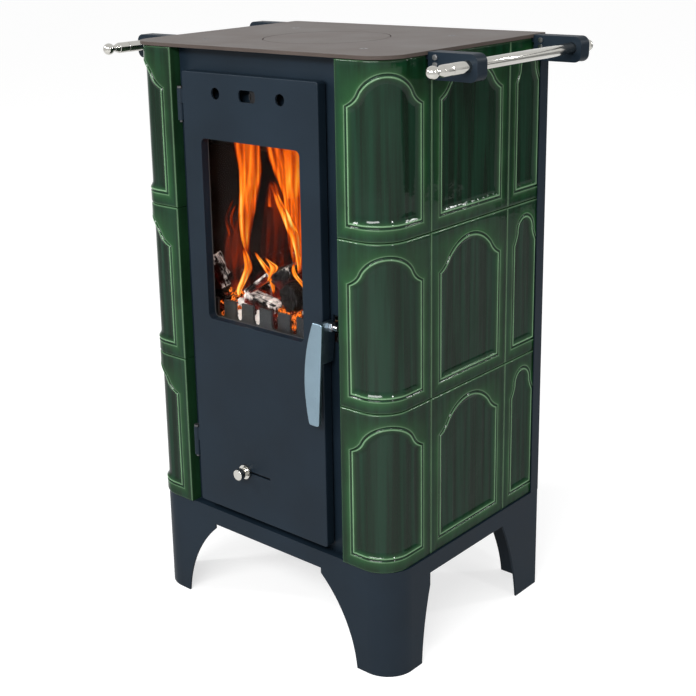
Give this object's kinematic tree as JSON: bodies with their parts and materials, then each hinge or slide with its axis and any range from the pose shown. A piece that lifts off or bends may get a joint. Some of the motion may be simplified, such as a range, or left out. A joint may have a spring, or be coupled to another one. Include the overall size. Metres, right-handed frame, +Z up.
{
  "type": "tiled wood stove",
  "caption": "Free-standing wood stove with arched glazed tiles, a glazed fire door, side rails and a cooking plate.",
  "frame": {"origin": "on the floor, under the middle of the whole stove's bounding box", "axes": "+X to the right of a person facing the door, -Y out of the front, +Z up"},
  "size_m": [0.642, 0.44, 0.889],
  "materials": {
    "green_glaze": "bottle-green glazed ceramic",
    "dark_steel": "satin heat-resistant dark grey paint",
    "plain_steel": "matt black heat-resistant paint",
    "zinc_fastener": "zinc-plated",
    "polished_steel": "polished",
    "brushed_steel": "brushed",
    "fire_glass": "clear glass ceramic",
    "glass_rope": "woven glass-fibre rope and tape",
    "firebrick": "rough fired clay, smoked",
    "cast_iron": "rough casting"
  },
  "bodies": {
    "stove_body": {"ash_pan": "plain_steel", "baffle": "firebrick", "base_frame": "dark_steel", "bracket_screws": "zinc_fastener", "casing_floors": "plain_steel", "casing_front": "plain_steel", "casing_shell": "plain_steel", "flue_collar": "plain_steel", "front_panel": "dark_steel", "grate": "cast_iron", "hearth_plate": "cast_iron", "hinge_frame_halves": "dark_steel", "hinge_pins": "zinc_fastener", "latch_catch": "plain_steel", "left_corner_tile_bottom": "green_glaze", "left_corner_tile_middle": "green_glaze", "left_corner_tile_top": "green_glaze", "left_half_tile_bottom": "green_glaze", "left_half_tile_middle": "green_glaze", "left_half_tile_top": "green_glaze", "left_side_tile_bottom": "green_glaze", "left_side_tile_middle": "green_glaze", "left_side_tile_top": "green_glaze", "left_upright": "dark_steel", "log_fender": "cast_iron", "rail_brackets": "dark_steel", "rail_finials": "polished_steel", "rail_tongues": "dark_steel", "rails": "polished_steel", "rear_firebricks": "firebrick", "rear_panel": "dark_steel", "rear_panel_screws": "zinc_fastener", "right_corner_tile_bottom": "green_glaze", "right_corner_tile_middle": "green_glaze", "right_corner_tile_top": "green_glaze", "right_half_tile_bottom": "green_glaze", "right_half_tile_middle": "green_glaze", "right_half_tile_top": "green_glaze", "right_side_tile_bottom": "green_glaze", "right_side_tile_middle": "green_glaze", "right_side_tile_top": "green_glaze", "right_upright": "dark_steel", "side_firebricks": "firebrick", "tile_clips": "plain_steel", "top_plate": "dark_steel", "top_plate_screws": "zinc_fastener"},
    "door": {"door_panel": "dark_steel", "door_liner": "dark_steel", "door_glass": "fire_glass", "glass_gasket": "glass_rope", "glass_clips": "zinc_fastener", "glass_clip_nuts": "zinc_fastener", "door_seal": "glass_rope", "hinge_door_halves": "dark_steel", "latch_pin": "zinc_fastener"},
    "latch": {"latch_handle": "brushed_steel"},
    "air_control": {"air_knob": "polished_steel", "air_slide": "plain_steel"},
    "air_wash": {"air_wash_slide": "plain_steel"},
    "lid": {"top_lid": "dark_steel"}
  },
  "joints": [
    {"name": "door_hinge", "type": "hinge", "parent": "stove_body", "child": "door", "pos_m": [-0.141, -0.195, 0.276], "axis": [0, 0, -1], "range_deg": [0, 110]},
    {"name": "latch_lift", "type": "hinge", "parent": "door", "child": "latch", "pos_m": [0.1335, -0.192, 0.514], "axis": [-1, 0, 0], "range_deg": [0, 35]},
    {"name": "air_control_slide", "type": "slide", "parent": "door", "child": "air_control", "axis": [1, 0, 0], "range_m": [0, 0.045]},
    {"name": "air_wash_slide_joint", "type": "slide", "parent": "door", "child": "air_wash", "axis": [-1, 0, 0], "range_m": [0, 0.018]},
    {"name": "lid_lift", "type": "slide", "parent": "stove_body", "child": "lid", "axis": [0, 0, 1], "range_m": [0, 0.06]}
  ]
}
